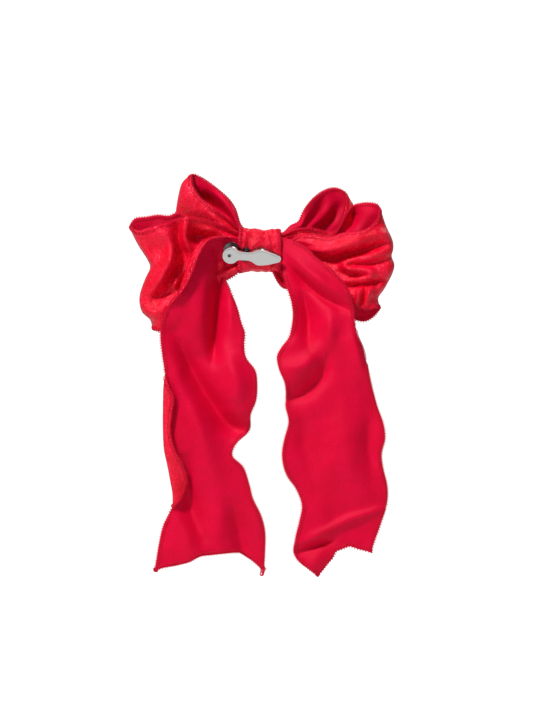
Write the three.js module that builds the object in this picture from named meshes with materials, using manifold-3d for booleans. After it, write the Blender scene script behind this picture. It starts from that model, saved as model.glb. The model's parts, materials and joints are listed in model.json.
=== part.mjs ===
// A large two-layer hair bow with two hanging tails, sewn to a small sprung metal clip.
//
// Frame, in millimetres: +Z is up as the bow is worn, +X is to the right seen from the clip's side,
// and +Y points away from the head, out of the front of the bow. The origin is the middle of the
// clip's closed jaws, where the hair is gripped.
import * as THREE from "three";
import { mergeVertices } from "three/addons/utils/BufferGeometryUtils.js";
import Module from "manifold-3d";

const wasm = await Module();
wasm.setup();

// ---------------------------------------------------------------- driving dimensions
const CLOTH = 1.5; // thickness of one layer of velvet
const GAP = 0.3; // the least room between two pieces
const THREAD = 0.7; // gathering thread
const EDGE_THREAD = 1.2; // overlocked edging

// The knot band wraps the gathered middle of all three strips.
const KNOT = {
  x0: -19.6,
  x1: 10.5,
  y: 13.7,
  z: 5.2,
  halfDepth: 7.8,
  halfHeight: 15,
  cloth: 1.1,
  corner: 3.8,
};
const KNOT_X = (KNOT.x0 + KNOT.x1) / 2;
const WAIST_HALF = 10.2; // half the height of the gathered cloth inside the band
const FLAT_REACH = 17; // how far from the middle of the knot a strip stays gathered

// How deep each layer of cloth lies inside the knot.
const LAYER_Y = { tails: 9.4, lowerNear: 11.6, lowerFar: 13.75, upperNear: 15.9, upperFar: 18 };

// Clip, in its own frame: x runs to the tip, y across, z outwards from the bow.
const CLIP = {
  sheet: 0.7,
  tip: 10.6,
  pivot: -14.3,
  earRadius: 1.9,
  earHole: 1.05,
  topEar: 2.4,
  baseEar: 3.45,
  headX: -24.3,
  headLong: 5.8,
  headWide: 6.2,
  holeX: -25.4,
  headHole: 1.3,
  neckHalf: 3.1,
  panelInset: 1.2,
  panelRise: 0.35,
  roll: 25,
  dip: 7,
};
const PIN = { radius: 0.75, headRadius: 1.5, headHeight: 0.5 };
const SPRING = { wire: 0.55, radius: 1.5, turns: 5, halfWidth: 1.75, legReach: 8.5 };

// Each tail swings about a line across its face, just outside the cloth on the clip's side.
const TAIL_HINGE = { z: -36, cloth: -7.5 };

// ---------------------------------------------------------------- materials
const material = (color, roughness, metalness) =>
  new THREE.MeshStandardMaterial({ color, roughness, metalness });
const VELVET = material(0xd00a22, 0.75, 0);
const THREAD_RED = material(0xe01c34, 0.7, 0);
const STEEL = material(0xc9ccca, 0.22, 1);
const SPRING_STEEL = material(0x6d7075, 0.3, 1);

// ---------------------------------------------------------------- small helpers
const lerp = THREE.MathUtils.lerp;
const smooth = (x, a, b) => THREE.MathUtils.smoothstep(x, a, b);
const rad = THREE.MathUtils.degToRad;

// A smooth curve through equally spaced numbers or rows of numbers, read at q from 0 to 1.
function through(values, q) {
  const last = values.length - 1;
  const at = Math.min(Math.max(q, 0), 1) * last;
  const i = Math.min(Math.floor(at), last - 1);
  const f = at - i;
  const pick = (k) => values[Math.min(Math.max(k, 0), last)];
  const [a, b, c, d] = [pick(i - 1), pick(i), pick(i + 1), pick(i + 2)];
  const one = (p0, p1, p2, p3) =>
    p1 + 0.5 * f * (p2 - p0 + f * (2 * p0 - 5 * p1 + 4 * p2 - p3 + f * (3 * (p1 - p2) + p3 - p0)));
  return Array.isArray(b) ? b.map((_, k) => one(a[k], b[k], c[k], d[k])) : one(a, b, c, d);
}

function namedMesh(name, geometry, mat) {
  const mesh = new THREE.Mesh(geometry, mat);
  mesh.name = name;
  return mesh;
}

// Turns a geometry's faces round if they point inwards.
function facingOut(geometry) {
  const p = geometry.getAttribute("position");
  const index = geometry.index.array;
  const [a, b, c] = [new THREE.Vector3(), new THREE.Vector3(), new THREE.Vector3()];
  let volume = 0;
  for (let i = 0; i < index.length; i += 3) {
    a.fromBufferAttribute(p, index[i]);
    b.fromBufferAttribute(p, index[i + 1]);
    c.fromBufferAttribute(p, index[i + 2]);
    volume += a.dot(b.cross(c));
  }
  if (volume < 0) {
    for (let i = 0; i < index.length; i += 3) {
      [index[i + 1], index[i + 2]] = [index[i + 2], index[i + 1]];
    }
  }
  return geometry;
}

// A sheet of cloth with thickness: point(s, t) for s and t from 0 to 1. A ring closes on itself along s.
function sheetGeometry(point, ns, nt, thickness, ring = false) {
  const rows = ring ? ns : ns + 1;
  const step = 1e-3;
  const position = [];
  const at = (s, t) => new THREE.Vector3(...point(ring ? (s + 1) % 1 : s, t));
  for (const side of [1, -1]) {
    for (let i = 0; i < rows; i++) {
      for (let j = 0; j <= nt; j++) {
        const s = i / ns;
        const t = j / nt;
        const [s0, s1] = ring ? [s - step, s + step] : [Math.max(s - step, 0), Math.min(s + step, 1)];
        const along = at(s1, t).sub(at(s0, t));
        const across = at(s, Math.min(t + step, 1)).sub(at(s, Math.max(t - step, 0)));
        const normal = along.cross(across).normalize();
        const p = at(s, t).addScaledVector(normal, (side * thickness) / 2);
        position.push(p.x, p.y, p.z);
      }
    }
  }
  const half = rows * (nt + 1);
  const id = (side, i, j) => side * half + (i % rows) * (nt + 1) + j;
  const index = [];
  const quad = (a, b, c, d) => index.push(a, b, c, a, c, d);
  for (let i = 0; i < ns; i++) {
    for (let j = 0; j < nt; j++) {
      quad(id(0, i, j), id(0, i + 1, j), id(0, i + 1, j + 1), id(0, i, j + 1));
      quad(id(1, i, j + 1), id(1, i + 1, j + 1), id(1, i + 1, j), id(1, i, j));
    }
    quad(id(0, i + 1, 0), id(0, i, 0), id(1, i, 0), id(1, i + 1, 0));
    quad(id(0, i, nt), id(0, i + 1, nt), id(1, i + 1, nt), id(1, i, nt));
  }
  if (!ring) {
    for (let j = 0; j < nt; j++) {
      quad(id(0, 0, j), id(0, 0, j + 1), id(1, 0, j + 1), id(1, 0, j));
      quad(id(0, ns, j + 1), id(0, ns, j), id(1, ns, j), id(1, ns, j + 1));
    }
  }
  const geometry = new THREE.BufferGeometry();
  geometry.setAttribute("position", new THREE.Float32BufferAttribute(position, 3));
  geometry.setIndex(index);
  return facingOut(geometry);
}

// A regular section of the given diameter, for threads and wires.
function roundSection(diameter, sides) {
  const shape = new THREE.Shape();
  for (let i = 0; i < sides; i++) {
    const a = (2 * Math.PI * i) / sides;
    const [x, y] = [(diameter / 2) * Math.cos(a), (diameter / 2) * Math.sin(a)];
    i ? shape.lineTo(x, y) : shape.moveTo(x, y);
  }
  return shape.closePath();
}

// A thread or wire that follows points.
function threadGeometry(points, diameter, steps, sides = 6, closed = false) {
  const path = new THREE.CatmullRomCurve3(points, closed, "centripetal");
  return new THREE.ExtrudeGeometry(roundSection(diameter, sides), { steps, extrudePath: path });
}

// ---------------------------------------------------------------- manifold helpers
function solid(geometry) {
  const bare = geometry.clone();
  bare.deleteAttribute("normal");
  bare.deleteAttribute("uv");
  const merged = mergeVertices(bare, 1e-4);
  return new wasm.Manifold(
    new wasm.Mesh({
      numProp: 3,
      vertProperties: new Float32Array(merged.getAttribute("position").array),
      triVerts: new Uint32Array(merged.index.array),
    }),
  );
}

function geometryOf(manifold) {
  const mesh = manifold.getMesh();
  const geometry = new THREE.BufferGeometry();
  geometry.setAttribute("position", new THREE.BufferAttribute(mesh.vertProperties, 3));
  geometry.setIndex(new THREE.BufferAttribute(mesh.triVerts, 1));
  return geometry;
}

// ---------------------------------------------------------------- bow strips
// Each strip is a ring of ribbon pinched at the knot into a left and a right loop. For each loop, fold
// is the outer fold from the ribbon's upper edge to its lower edge, as [x, z]; foldY is how deep it
// lies; near and far say how far each side bulges; nearEdge and farEdge lift the upper edge there, and
// farHem drops the lower edge of the far side.
const LOWER_STRIP = {
  nearY: LAYER_Y.lowerNear,
  farY: LAYER_Y.lowerFar,
  left: {
    fold: [
      [-95.5, 22], [-90.5, 12], [-84.5, 1], [-80.5, -7],
      [-84, -16], [-87.5, -27], [-86, -39], [-79, -51],
    ],
    foldY: 9, near: 27, far: 16, nearEdge: 8, farEdge: 12, farHem: 0,
  },
  right: {
    fold: [[79.5, 34], [84, 20], [88.5, 9], [87.5, 1], [89.3, -6], [85.5, -16], [81, -25], [79, -37]],
    foldY: 9, near: 27, far: 16, nearEdge: -7, farEdge: 8, farHem: 7,
  },
};
const UPPER_STRIP = {
  nearY: LAYER_Y.upperNear,
  farY: LAYER_Y.upperFar,
  left: {
    fold: [[-51.5, 57], [-58, 51.5], [-61.5, 42], [-63, 32], [-66, 20], [-71, 5]],
    foldY: 32, near: 11, far: 27, nearEdge: -3, farEdge: 10, farHem: 0,
  },
  right: {
    fold: [[55.5, 43], [60.5, 36], [64.5, 27], [67.5, 16], [69, 5], [68, -8]],
    foldY: 32, near: 11, far: 27, nearEdge: -7, farEdge: 14, farHem: 0,
  },
};
const BEZIER_ROOT = 0.4; // where a loop's side starts to open, as a share of its reach
const STRAIGHT_REACH = [24, 50]; // a loop leaves the knot flat, and bulges fully past the second reach

// Rises from 0 at x = 0 to 1 at x = 1, leaving 0 without a kink.
const softRamp = (x) => (x <= 0 ? 0 : (1.12 * x * x) / (x + 0.12));
const bezier = (a, b, c, d, u) =>
  (1 - u) ** 3 * a + 3 * (1 - u) ** 2 * u * b + 3 * (1 - u) * u * u * c + u ** 3 * d;

// A point on one loop: u from 0 at the knot to 1 at the fold, on the near (side -1) or far (side 1) side.
function loopPoint(strip, loop, side, u, t) {
  const [foldX, foldZ] = through(loop.fold, t);
  const waistY = side < 0 ? strip.nearY : strip.farY;
  const waistZ = KNOT.z + WAIST_HALF * (1 - 2 * t);
  const out = bezier(0, BEZIER_ROOT, 1, 1, u);
  const bulge = loop.foldY + side * (side < 0 ? loop.near : loop.far);
  const reach = out * Math.abs(foldX - KNOT_X);
  const opened = bezier(waistY, waistY, bulge, loop.foldY, u);
  const y = lerp(waistY, opened, smooth(reach, ...STRAIGHT_REACH));
  const flat = FLAT_REACH / Math.abs(foldX - KNOT_X);
  const fan = softRamp((out - flat) / (1 - flat));
  const arch = Math.sin(Math.PI * Math.min(1, fan));
  const upper = (side < 0 ? loop.nearEdge : loop.farEdge) * (1 - t) ** 2;
  const lower = side < 0 ? 0 : -loop.farHem * t ** 3;
  const z = lerp(waistZ, foldZ, fan) + arch * (upper + lower);
  return [lerp(KNOT_X, foldX, out), y, z];
}

// Round the ring: left near side, left far side, right far side, right near side.
function stripPoint(strip, s, t) {
  const quarter = Math.min(3, Math.floor(s * 4));
  const u = s * 4 - quarter;
  const loop = quarter < 2 ? strip.left : strip.right;
  const side = quarter === 0 || quarter === 3 ? -1 : 1;
  return loopPoint(strip, loop, side, quarter % 2 ? 1 - u : u, t);
}

// ---------------------------------------------------------------- tails
// Each row across a tail is [outer edge x, y, z, inner edge x, y, z], from the middle of the knot down.
// The sixth row lies on the hinge line, where the cloth is flat.
const LEFT_ROWS = [
  [KNOT_X, LAYER_Y.tails, 15.2, KNOT_X, LAYER_Y.tails, -4.8],
  [-22, LAYER_Y.tails, 15, -22, LAYER_Y.tails, -4.8],
  [-34, 7.2, 13, -31, 8, -10],
  [-44, 0.5, 3, -29, 5, -17],
  [-54, -6, -15, -26, -3, -26],
  [-68, TAIL_HINGE.cloth, TAIL_HINGE.z, -21, TAIL_HINGE.cloth, TAIL_HINGE.z],
  [-73, -9.5, -55, -15.5, -8, -54],
  [-71, -9.5, -80, -8, -8, -80],
  [-72, -9.5, -107, -9, -8, -107],
  [-70.5, -9.5, -138, -20, -8, -138],
  [-66, -9, -168, -11, -8, -166],
  [-73, -8.5, -193, -2.5, -8, -192],
  [-77.5, -8.5, -219.5, -2.5, -8, -220.5],
];
const RIGHT_ROWS = [
  [KNOT_X, LAYER_Y.tails, 15.2, KNOT_X, LAYER_Y.tails, -4.8],
  [13, LAYER_Y.tails, 14, 13, LAYER_Y.tails, -5],
  [24, 5.5, 9, 16.5, 5.5, -13],
  [38, -0.5, -3, 16.5, 0.5, -23],
  [51, -6, -16, 17.8, -5, -30],
  [61, TAIL_HINGE.cloth, TAIL_HINGE.z, 18.8, TAIL_HINGE.cloth, TAIL_HINGE.z],
  [63, -9.5, -54, 16.5, -8.5, -54],
  [71.5, -9.5, -79, 9, -8, -76],
  [78, -9.5, -104, 14, -8, -104],
  [83, -9.5, -128, 12.5, -8, -130],
  [81, -9, -150, 13, -8, -150],
  [84, -8.5, -172, 25, -8, -175],
  [74, -8.5, -206.5, 36, -8, -222.5],
];
const HINGE_ROW = 5; // index of the row on the hinge line
const LAST_ROW = LEFT_ROWS.length - 1;
const TAILS = {
  left: { rows: LEFT_ROWS, hemRise: 9, wave: 2.2, turns: 1.5 },
  right: { rows: RIGHT_ROWS, hemRise: 8, wave: 2.2, turns: 1.3 },
};

// A point on a tail: row from 0 to LAST_ROW, t from the outer edge to the inner edge.
function tailPoint(tail, row, t) {
  const [ox, oy, oz, ix, iy, iz] = through(tail.rows, row / LAST_ROW);
  const free = smooth(Math.abs(row - HINGE_ROW), 0.3, 2) * smooth(row, 2, 4);
  const ripple = tail.wave * free * Math.sin(2 * Math.PI * (tail.turns * t + 0.11 * row));
  const hem = tail.hemRise * smooth(row, LAST_ROW - 1.5, LAST_ROW) * Math.sin(Math.PI * t);
  return [lerp(ox, ix, t), lerp(oy, iy, t) + ripple, lerp(oz, iz, t) + hem];
}

// ---------------------------------------------------------------- fabric pieces
const STRIP_ROWS = 44; // along a ring
const TAIL_ROWS = 24;
const COLUMNS = 8; // across a strip
const TAIL_COLUMNS = 8;
const fabric = new THREE.Group();

const stripGeometry = (strip) =>
  sheetGeometry((s, t) => stripPoint(strip, s, t), STRIP_ROWS, COLUMNS, CLOTH, true);

fabric.add(
  namedMesh("lower_bow_strip", stripGeometry(LOWER_STRIP), VELVET),
  namedMesh("upper_bow_strip", stripGeometry(UPPER_STRIP), VELVET),
);

// The middle of the tail strip runs through the knot and fans out on both sides down to the hinge lines.
function tailMiddlePoint(s, t) {
  return s < 0.5
    ? tailPoint(TAILS.left, HINGE_ROW * (1 - 2 * s), t)
    : tailPoint(TAILS.right, HINGE_ROW * (2 * s - 1), t);
}
const MIDDLE_ROWS = 28;
fabric.add(namedMesh("tail_strip_middle", sheetGeometry(tailMiddlePoint, MIDDLE_ROWS, 6, CLOTH), VELVET));

const HINGE_GAP_ROWS = 0.04; // rows left out below the hinge line, about 0.7 mm of cloth
const tailSheet = (tail) => (s, t) => tailPoint(tail, lerp(HINGE_ROW + HINGE_GAP_ROWS, LAST_ROW, s), t);
for (const [side, tail] of Object.entries(TAILS)) {
  const geometry = sheetGeometry(tailSheet(tail), TAIL_ROWS, TAIL_COLUMNS, CLOTH);
  fabric.add(namedMesh(`${side}_tail`, geometry, VELVET));
}

// The knot band: a flattened sleeve of velvet round the gathered strips.
function roundedRectangle(halfWidth, halfHeight, radius) {
  const shape = new THREE.Shape();
  const [w, h] = [halfWidth - radius, halfHeight - radius];
  shape.absarc(w, h, radius, 0, Math.PI / 2, false);
  shape.absarc(-w, h, radius, Math.PI / 2, Math.PI, false);
  shape.absarc(-w, -h, radius, Math.PI, 1.5 * Math.PI, false);
  shape.absarc(w, -h, radius, 1.5 * Math.PI, 2 * Math.PI, false);
  return shape.closePath();
}
const bandSection = (inset) =>
  roundedRectangle(KNOT.halfDepth - inset, KNOT.halfHeight - inset, KNOT.corner - inset);
const bandShape = bandSection(0);
bandShape.holes.push(bandSection(KNOT.cloth));
const band = namedMesh(
  "knot_band",
  new THREE.ExtrudeGeometry(bandShape, { depth: KNOT.x1 - KNOT.x0, bevelEnabled: false, curveSegments: 6 }),
  VELVET,
);
// The section's x is the frame's y, its y is z, and it is extruded along x.
band.matrixAutoUpdate = false;
band.matrix.makeBasis(new THREE.Vector3(0, 1, 0), new THREE.Vector3(0, 0, 1), new THREE.Vector3(1, 0, 0));
band.matrix.setPosition(KNOT.x0, KNOT.y, KNOT.z);
fabric.add(band);

// The gathering thread: turns wound round the pinched strips, inside the band.
const WINDING = { turns: 3, pitch: 1.4, halfDepth: 5.95, halfHeight: 13.1, corner: 2.2 };
function windingPoints() {
  const ring = roundedRectangle(WINDING.halfDepth, WINDING.halfHeight, WINDING.corner).getPoints(3);
  ring.pop();
  const total = ring.length * WINDING.turns;
  const start = KNOT_X - (WINDING.turns * WINDING.pitch) / 2;
  return Array.from({ length: total }, (_, i) => {
    const p = ring[i % ring.length];
    return new THREE.Vector3(start + (i / ring.length) * WINDING.pitch, KNOT.y + p.x, KNOT.z + p.y);
  });
}
fabric.add(namedMesh("gathering_thread", threadGeometry(windingPoints(), THREAD, 66, 5), THREAD_RED));

// ---------------------------------------------------------------- overlocked edges
// Each edging is a round bead beside one edge of the cloth, just clear of it. A station is a point of
// the edge, the direction out of the cloth there, and the cloth's normal.
const EDGE_OFFSET = EDGE_THREAD / 2 + GAP + 0.05;
const EDGE_SIDES = 6;

function edgeStation(point, s, t, ring = false) {
  const step = 1e-3;
  const at = (a, b) => new THREE.Vector3(...point(ring ? (a + 1) % 1 : THREE.MathUtils.clamp(a, 0, 1), b));
  const p = at(s, t);
  const along = at(s + step, t).sub(at(s - step, t)).normalize();
  const out = p.clone().sub(at(s, t + (t < 0.5 ? 0.02 : -0.02)));
  out.addScaledVector(along, -out.dot(along)).normalize();
  return { p, out, normal: along.cross(out) };
}

function hemStation(point, t) {
  const at = (a, b) => new THREE.Vector3(...point(a, THREE.MathUtils.clamp(b, 0, 1)));
  const p = at(1, t);
  const along = at(1, t + 1e-3).sub(at(1, t - 1e-3)).normalize();
  const out = p.clone().sub(at(0.98, t));
  out.addScaledVector(along, -out.dot(along)).normalize();
  return { p, out, normal: along.cross(out) };
}

function edgingGeometry(stations, closed) {
  const count = stations.length;
  const position = [];
  for (const { p, out, normal } of stations) {
    for (let k = 0; k < EDGE_SIDES; k++) {
      const a = (2 * Math.PI * k) / EDGE_SIDES;
      const v = p.clone().addScaledVector(out, EDGE_OFFSET + (EDGE_THREAD / 2) * Math.cos(a));
      v.addScaledVector(normal, (EDGE_THREAD / 2) * Math.sin(a));
      position.push(v.x, v.y, v.z);
    }
  }
  const index = [];
  const id = (i, k) => (i % count) * EDGE_SIDES + (k % EDGE_SIDES);
  for (let i = 0; i < (closed ? count : count - 1); i++) {
    for (let k = 0; k < EDGE_SIDES; k++) {
      index.push(id(i, k), id(i + 1, k), id(i + 1, k + 1), id(i, k), id(i + 1, k + 1), id(i, k + 1));
    }
  }
  for (let k = 1; !closed && k < EDGE_SIDES - 1; k++) {
    index.push(id(0, 0), id(0, k), id(0, k + 1));
    index.push(id(count - 1, 0), id(count - 1, k + 1), id(count - 1, k));
  }
  const geometry = new THREE.BufferGeometry();
  geometry.setAttribute("position", new THREE.Float32BufferAttribute(position, 3));
  geometry.setIndex(index);
  return facingOut(geometry);
}

const evenly = (count, make) => Array.from({ length: count }, (_, i) => make(i));
const edging = (name, stations, closed) =>
  fabric.add(namedMesh(`${name}_overlock`, edgingGeometry(stations, closed), THREAD_RED));

for (const [name, strip] of [["lower", LOWER_STRIP], ["upper", UPPER_STRIP]]) {
  const point = (s, t) => stripPoint(strip, s, t);
  for (const [edge, t] of [["top", 0], ["bottom", 1]]) {
    const station = (i) => edgeStation(point, i / STRIP_ROWS, t, true);
    edging(`${name}_strip_${edge}`, evenly(STRIP_ROWS, station), true);
  }
}

for (const [edge, t] of [["top", 0], ["bottom", 1]]) {
  const station = (i) => edgeStation(tailMiddlePoint, (i + 1) / MIDDLE_ROWS, t);
  edging(`tail_strip_middle_${edge}`, evenly(MIDDLE_ROWS - 1, station), false);
}

// Down each side of a tail, and along its hem. The side runs stop short of the hem's.
for (const [side, tail] of Object.entries(TAILS)) {
  const point = tailSheet(tail);
  for (const [edge, t] of [["outer", 0], ["inner", 1]]) {
    const station = (i) => edgeStation(point, (i + 1) / TAIL_ROWS, t);
    edging(`${side}_tail_${edge}`, evenly(TAIL_ROWS, station), false);
  }
  edging(`${side}_tail_hem`, evenly(TAIL_COLUMNS + 1, (i) => hemStation(point, i / TAIL_COLUMNS)), false);
}

// Round both ends of the knot band.
for (const [side, out] of [["left", -1], ["right", 1]]) {
  const ring = bandSection(KNOT.cloth / 2).getPoints(6).slice(0, -1);
  const x = out < 0 ? KNOT.x0 : KNOT.x1;
  const stations = ring.map((q, i) => {
    const next = ring[(i + 1) % ring.length];
    const last = ring[(i + ring.length - 1) % ring.length];
    const along = new THREE.Vector2().subVectors(next, last).normalize();
    return {
      p: new THREE.Vector3(x, KNOT.y + q.x, KNOT.z + q.y),
      out: new THREE.Vector3(out, 0, 0),
      normal: new THREE.Vector3(0, along.y, -along.x),
    };
  });
  edging(`knot_${side}`, stations, true);
}

// ---------------------------------------------------------------- clip
const clip = new THREE.Group();
clip.rotation.set(rad(90 + CLIP.roll), rad(CLIP.dip), 0, "YXZ");

// Upper half of an arm's outline seen from outside, from the tip round the head.
function armHalfOutline() {
  const path = new THREE.Path();
  path.moveTo(CLIP.tip, 0);
  path.quadraticCurveTo(CLIP.tip, 2.1, 8.4, 2.7);
  path.bezierCurveTo(4, 4.2, 0.5, 5.4, -3.5, 5.85);
  path.bezierCurveTo(-7.5, 6.3, -8.2, CLIP.neckHalf, -12.4, CLIP.neckHalf);
  path.lineTo(-17.4, CLIP.neckHalf);
  const { headX, headLong, headWide } = CLIP;
  const meet = rad(50);
  path.quadraticCurveTo(
    -19.6, CLIP.neckHalf,
    headX + headLong * Math.cos(meet), headWide * Math.sin(meet),
  );
  path.absellipse(headX, 0, headLong, headWide, meet, Math.PI, false);
  return path.getPoints(7);
}

// The whole outline moved inwards by inset.
function armOutline(inset) {
  const half = armHalfOutline().filter((p, i, all) => i === 0 || p.distanceTo(all[i - 1]) > 1e-3);
  const mirrored = half.slice(1, -1).reverse().map((p) => new THREE.Vector2(p.x, -p.y));
  const points = [...half, ...mirrored];
  const moved = points.map((p, i) => {
    const before = points[(i + points.length - 1) % points.length];
    const after = points[(i + 1) % points.length];
    const along = after.clone().sub(before).normalize();
    return new THREE.Vector2(p.x - along.y * inset, p.y + along.x * inset);
  });
  return new THREE.Shape(moved);
}

// An outline cut through everything, standing along z.
function throughZ(shape) {
  const geometry = new THREE.ExtrudeGeometry(shape, { depth: 40, bevelEnabled: false });
  return solid(geometry.translate(0, 0, -20));
}

// A side view of [x, z] points, extruded across the clip from y0 to y1.
function acrossClip(points, y0, y1) {
  const shape = new THREE.Shape(points.map(([x, z]) => new THREE.Vector2(x, -z)));
  const geometry = new THREE.ExtrudeGeometry(shape, { depth: y1 - y0, bevelEnabled: false });
  geometry.rotateX(-Math.PI / 2); // the section's y becomes -z and its depth becomes y
  return solid(geometry.translate(0, y0, 0));
}

function box(x0, x1, y0, y1, z0, z1) {
  const geometry = new THREE.BoxGeometry(x1 - x0, y1 - y0, z1 - z0);
  return solid(geometry.translate((x0 + x1) / 2, (y0 + y1) / 2, (z0 + z1) / 2));
}

function cylinderAcross(x, z, radius, y0, y1, sides = 20) {
  const geometry = new THREE.CylinderGeometry(radius, radius, y1 - y0, sides);
  return solid(geometry.translate(x, (y0 + y1) / 2, z));
}

// The outer face of the top arm seen from the side, as [x, z].
const ARM_BACK = [[-31, 6.5], [-17, 3.75], [-12, 3.1], [-4, 2.9], [4, 2.3], [11.2, 0.95]];
// The free edge of the turned-down rim.
const ARM_RIM = [[-31, 4.8], [-17, 2.2], [-12.2, 1.2], [-9, 0.2], [4, 0.2], [11.2, 0.2]];

// One arm: a plate with a turned-down rim all round, a raised panel pressed into its face, two ears
// for the pin and a hole in the head.
function armSolid(isBase) {
  const up = (points, lift = 0) => points.map(([x, z]) => [x, z + lift]);
  const around = [...up(ARM_BACK), ...up(ARM_BACK, -CLIP.sheet).reverse()];
  const proud = [...up(ARM_BACK, CLIP.panelRise), ...up(ARM_BACK, -CLIP.sheet / 2).reverse()];
  const skirt = [...up(ARM_BACK), ...up(ARM_RIM).reverse()];
  const outline = throughZ(armOutline(0));
  const inside = throughZ(armOutline(CLIP.sheet));
  const plate = acrossClip(around, -9, 9).intersect(outline);
  const rim = acrossClip(skirt, -9, 9).intersect(outline.subtract(inside));
  const panel = acrossClip(proud, -9, 9).intersect(throughZ(armOutline(CLIP.panelInset)));
  let arm = plate.add(rim).add(panel);

  const ear = isBase ? CLIP.baseEar : CLIP.topEar;
  const { pivot, earRadius: r, earHole, sheet } = CLIP;
  if (isBase) {
    // Room for the top arm's ears, then a wider plate to carry this arm's own.
    const room = r + 0.4;
    for (const y of [-3.4, 2.05]) {
      arm = arm.subtract(box(pivot - room, pivot + room, y, y + 1.35, -3, 2.5));
    }
    arm = arm.add(box(pivot - r, pivot + r, -ear - sheet, ear + sheet, 2.55, 3.3));
  }
  for (const y of [ear, -ear - sheet]) {
    arm = arm.add(box(pivot - r, pivot + r, y, y + sheet, 0, 2.9));
    arm = arm.add(cylinderAcross(pivot, 0, r, y, y + sheet));
  }
  arm = arm.subtract(cylinderAcross(pivot, 0, earHole, -6, 6));

  const hole = new THREE.CylinderGeometry(CLIP.headHole, CLIP.headHole, 20, 20);
  hole.rotateX(Math.PI / 2).translate(CLIP.holeX, 0, 0);
  return arm.subtract(solid(hole));
}

const topArm = namedMesh("clip_top_arm", geometryOf(armSolid(false)), STEEL);
const baseArm = namedMesh("clip_base_arm", geometryOf(armSolid(true)), STEEL);
baseArm.rotation.x = Math.PI; // the same pressing turned over about the clip's length
clip.add(topArm, baseArm);

// The pivot pin, with a low head on each side.
function pinSolid() {
  const end = CLIP.baseEar + CLIP.sheet + GAP;
  const { radius, headRadius, headHeight } = PIN;
  return cylinderAcross(CLIP.pivot, 0, radius, -end - 0.1, end + 0.1, 16)
    .add(cylinderAcross(CLIP.pivot, 0, headRadius, end, end + headHeight, 16))
    .add(cylinderAcross(CLIP.pivot, 0, headRadius, -end - headHeight, -end, 16));
}
clip.add(namedMesh("clip_pin", geometryOf(pinSolid()), STEEL));

// The torsion spring: a coil round the pin, with one leg on each handle.
function springPoints() {
  const { radius, turns, halfWidth, legReach } = SPRING;
  const perTurn = 8;
  const slope = 0.26;
  const points = [];
  const leg = (y, side) => [1, 0.5].map(
    (f) => new THREE.Vector3(CLIP.pivot - legReach * f, y, side * (radius + legReach * f * slope)),
  );
  points.push(...leg(-halfWidth, -1));
  const total = turns * perTurn + perTurn / 2;
  for (let i = 0; i <= total; i++) {
    const a = -Math.PI / 2 + (2 * Math.PI * i) / perTurn;
    const y = lerp(-halfWidth, halfWidth, i / total);
    points.push(new THREE.Vector3(CLIP.pivot + radius * Math.cos(a), y, radius * Math.sin(a)));
  }
  points.push(...leg(halfWidth, 1).reverse());
  return points;
}
clip.add(namedMesh("clip_spring", threadGeometry(springPoints(), SPRING.wire, 84, 5), SPRING_STEEL));

// Stitches that hold the base arm's neck to the knot band, one on each side of the ears.
const STITCH = { diameter: 0.6, half: 4.05 };
const STITCHES = [{ x: -17.2, top: -1.2, back: -4.45 }, { x: -11.1, top: -0.3, back: -3.8 }];
STITCHES.forEach(({ x, top, back }, i) => {
  const shape = roundedRectangle(STITCH.half, (top - back) / 2, 0.9);
  const middle = (top + back) / 2;
  const points = shape.getPoints(2).slice(0, -1).map((p) => new THREE.Vector3(x, p.x, middle + p.y));
  const geometry = threadGeometry(points, STITCH.diameter, 32, 5, true);
  clip.add(namedMesh(`clip_stitch_${i + 1}`, geometry, THREAD_RED));
});

// ---------------------------------------------------------------- the whole bow
const bow = new THREE.Group();
bow.add(fabric, clip);
export default bow;
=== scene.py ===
"""The looks of a velvet hair bow with two hanging tails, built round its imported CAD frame.

The frame is in metres: +Z up, +X to the right seen from the clip's side, +Y out of the front of the bow.
Outlines below are in millimetres in that frame, and MM turns them into metres.
"""

import json
import math

import bpy
import numpy as np
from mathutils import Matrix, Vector, noise


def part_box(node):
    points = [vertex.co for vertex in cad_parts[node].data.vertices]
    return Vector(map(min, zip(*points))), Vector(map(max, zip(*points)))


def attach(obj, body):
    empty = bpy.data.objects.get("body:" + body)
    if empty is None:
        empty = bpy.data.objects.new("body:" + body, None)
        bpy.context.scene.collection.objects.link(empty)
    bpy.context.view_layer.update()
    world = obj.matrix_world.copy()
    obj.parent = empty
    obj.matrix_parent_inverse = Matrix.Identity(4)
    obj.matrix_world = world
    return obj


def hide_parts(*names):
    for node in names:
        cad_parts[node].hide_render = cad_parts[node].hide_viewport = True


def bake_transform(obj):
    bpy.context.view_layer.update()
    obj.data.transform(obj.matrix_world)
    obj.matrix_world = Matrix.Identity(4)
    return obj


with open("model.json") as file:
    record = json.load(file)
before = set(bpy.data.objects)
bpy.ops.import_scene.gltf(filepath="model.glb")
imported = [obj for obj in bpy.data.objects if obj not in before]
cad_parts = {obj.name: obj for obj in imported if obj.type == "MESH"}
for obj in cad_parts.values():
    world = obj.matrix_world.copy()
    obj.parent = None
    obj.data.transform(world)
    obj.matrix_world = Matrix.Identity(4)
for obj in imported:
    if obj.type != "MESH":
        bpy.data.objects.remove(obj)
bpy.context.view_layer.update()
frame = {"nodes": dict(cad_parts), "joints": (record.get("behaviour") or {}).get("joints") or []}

MM = 0.001
RIBBON = 75.0  # flat width of the velvet ribbon, mm
CLOTH = 1.1  # thickness of the velvet, mm
KNOT_X = -4.55  # middle of the knot, mm
CAMERA_DISTANCE = 1600.0  # mm from the clip
CAMERA_X, CAMERA_Z = 0.35, -70.35  # mm


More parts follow.
